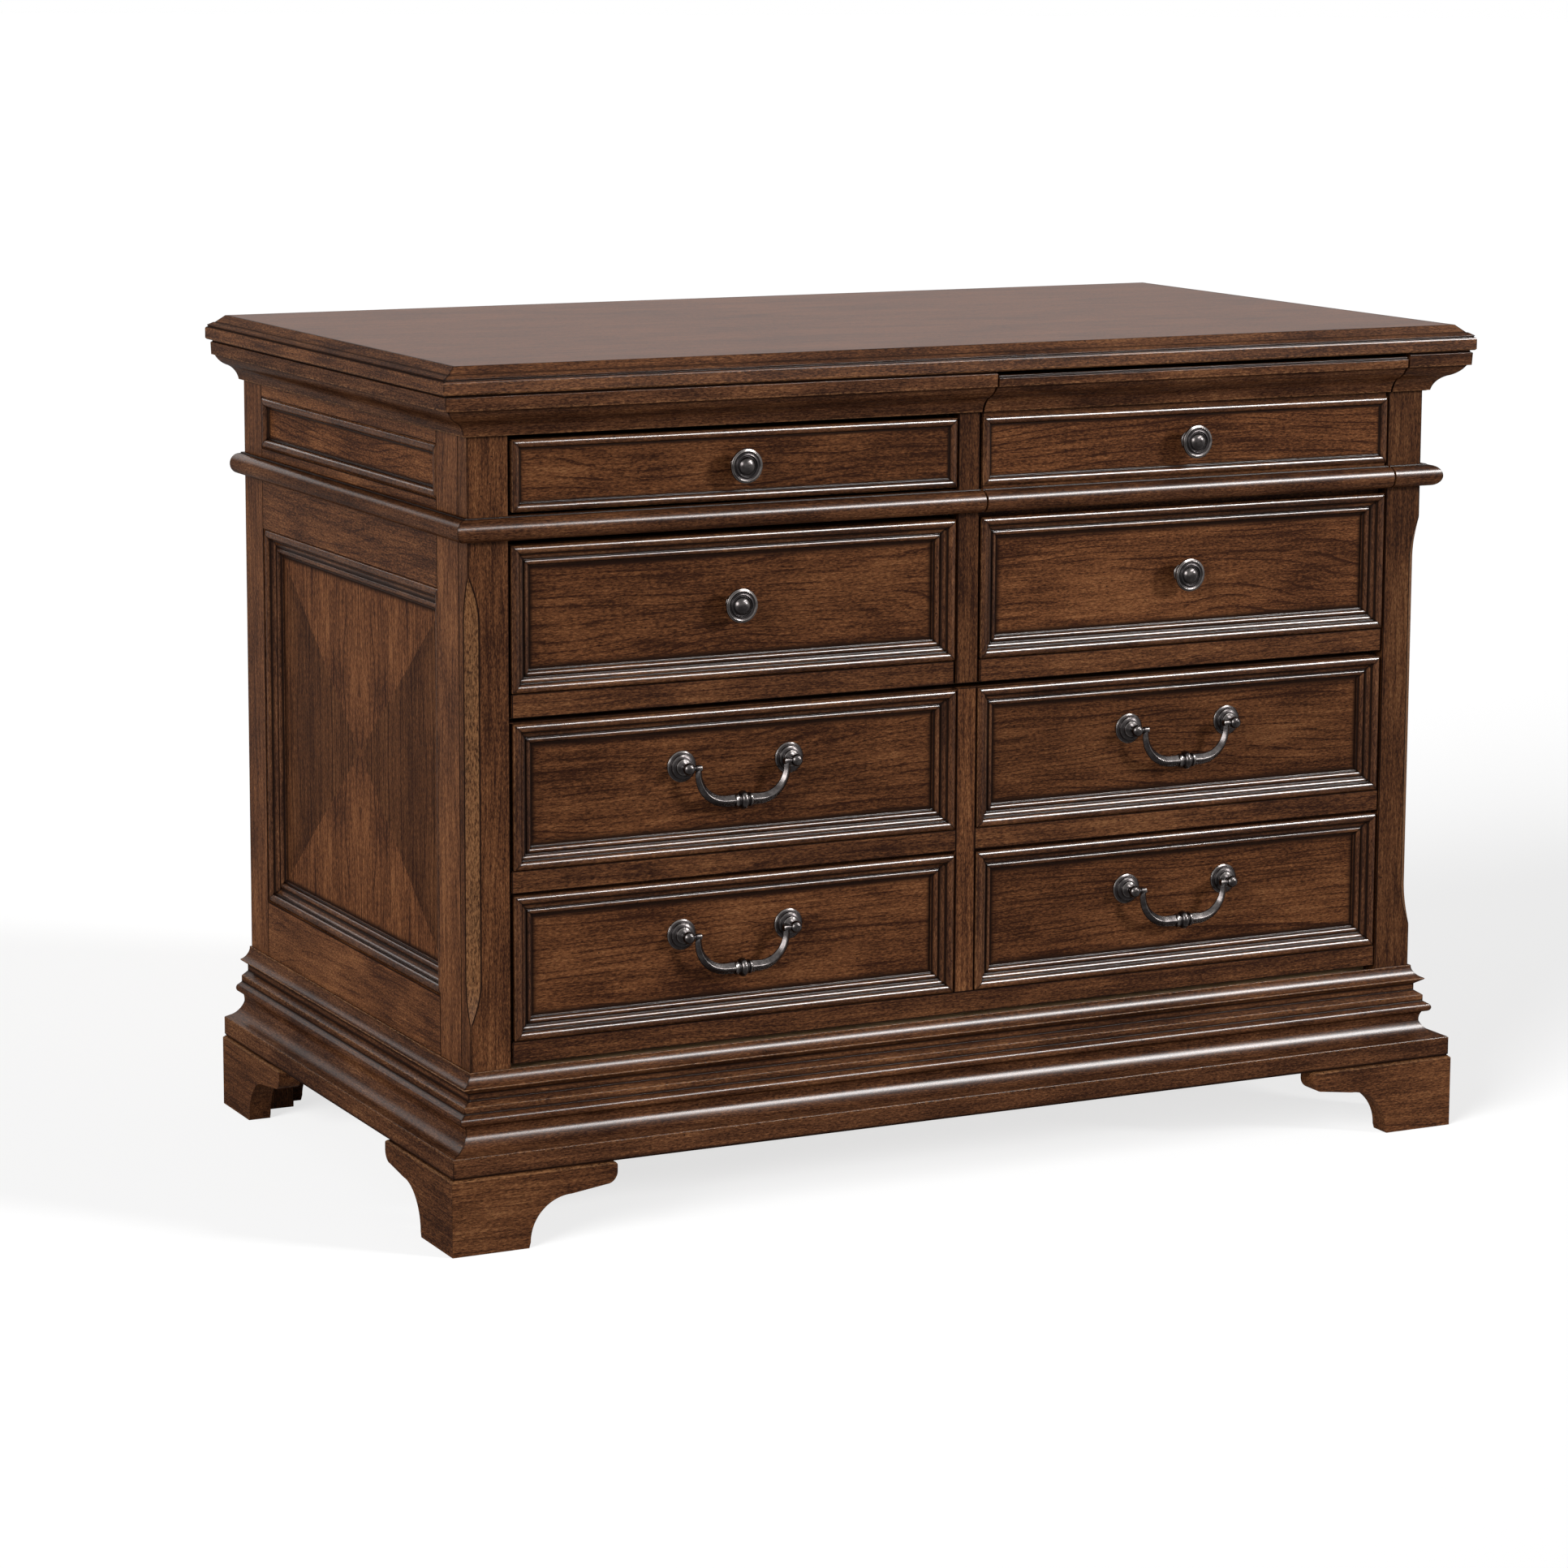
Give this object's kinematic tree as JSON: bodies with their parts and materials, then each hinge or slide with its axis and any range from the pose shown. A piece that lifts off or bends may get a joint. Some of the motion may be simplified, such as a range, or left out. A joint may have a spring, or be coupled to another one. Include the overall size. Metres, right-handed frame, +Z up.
{
  "type": "file chest",
  "caption": "Traditional wooden file chest on bracket feet with small drawers, a tall pull-out printer tray and a wide file drawer with bail pulls.",
  "frame": {"origin": "centre of the bounding box at floor level", "axes": "+X to the right as seen from the front, -Y towards the front, +Z up"},
  "size_m": [1.0668, 0.6096, 0.7874],
  "materials": {
    "show_wood": "glazed and polished",
    "carcase_wood": "satin",
    "slide_steel": "zinc plated",
    "pull_metal": "antique dark"
  },
  "bodies": {
    "case": {"top_panel": "show_wood", "top_edge_front": "show_wood", "top_edge_back": "show_wood", "top_edge_sides": "show_wood", "cornice_front": "show_wood", "cornice_front_end": "show_wood", "cornice_sides": "show_wood", "bead_front": "show_wood", "bead_front_end": "show_wood", "bead_sides": "show_wood", "post_left": "show_wood", "post_right": "show_wood", "side_frame_left": "show_wood", "side_frame_right": "show_wood", "side_panels": "show_wood", "side_mouldings": "show_wood", "centre_stile": "show_wood", "base_front": "show_wood", "base_sides": "show_wood", "foot_front_left": "show_wood", "foot_front_right": "show_wood", "foot_back_left": "show_wood", "foot_back_right": "show_wood", "glue_blocks": "carcase_wood", "back_panel": "carcase_wood", "dust_shelf": "carcase_wood", "bottom_panel": "carcase_wood", "centre_divider": "carcase_wood", "cross_rails": "show_wood", "slide_packers": "carcase_wood", "case_slides": "slide_steel"},
    "upper_drawer": {"top_drawer_front": "show_wood", "top_drawer_moulding": "show_wood", "top_drawer_box": "carcase_wood", "top_drawer_knob": "pull_metal", "top_drawer_slides": "slide_steel"},
    "second_drawer": {"second_drawer_front": "show_wood", "second_drawer_moulding": "show_wood", "second_drawer_box": "carcase_wood", "second_drawer_knob": "pull_metal", "second_drawer_slides": "slide_steel"},
    "printer_pullout": {"printer_front": "show_wood", "printer_cornice": "show_wood", "printer_bead": "show_wood", "printer_mouldings": "show_wood", "printer_knobs": "pull_metal", "printer_tray": "carcase_wood", "printer_brackets": "slide_steel", "printer_slides": "slide_steel"},
    "file_drawer": {"file_front": "show_wood", "file_mouldings": "show_wood", "file_box": "carcase_wood", "hanging_rails": "slide_steel", "file_slides": "slide_steel", "bail_posts": "pull_metal"},
    "pull_low_left": {"bail_low_left": "pull_metal"},
    "pull_low_right": {"bail_low_right": "pull_metal"},
    "pull_high_left": {"bail_high_left": "pull_metal"},
    "pull_high_right": {"bail_high_right": "pull_metal"}
  },
  "joints": [
    {"name": "upper_drawer_slide", "type": "slide", "parent": "case", "child": "upper_drawer", "axis": [0, -1, 0], "range_m": [0, 0.35]},
    {"name": "second_drawer_slide", "type": "slide", "parent": "case", "child": "second_drawer", "axis": [0, -1, 0], "range_m": [0, 0.35]},
    {"name": "printer_slide", "type": "slide", "parent": "case", "child": "printer_pullout", "axis": [0, -1, 0], "range_m": [0, 0.35]},
    {"name": "file_drawer_slide", "type": "slide", "parent": "case", "child": "file_drawer", "axis": [0, -1, 0], "range_m": [0, 0.35]},
    {"name": "pull_low_left_swing", "type": "hinge", "parent": "file_drawer", "child": "pull_low_left", "pos_m": [-0.23325, -0.2758, 0.26105], "axis": [-1, 0, 0], "range_deg": [-10, 95]},
    {"name": "pull_low_right_swing", "type": "hinge", "parent": "file_drawer", "child": "pull_low_right", "pos_m": [0.23325, -0.2758, 0.26105], "axis": [-1, 0, 0], "range_deg": [-10, 95]},
    {"name": "pull_high_left_swing", "type": "hinge", "parent": "file_drawer", "child": "pull_high_left", "pos_m": [-0.23325, -0.2758, 0.41555], "axis": [-1, 0, 0], "range_deg": [-10, 95]},
    {"name": "pull_high_right_swing", "type": "hinge", "parent": "file_drawer", "child": "pull_high_right", "pos_m": [0.23325, -0.2758, 0.41555], "axis": [-1, 0, 0], "range_deg": [-10, 95]}
  ]
}
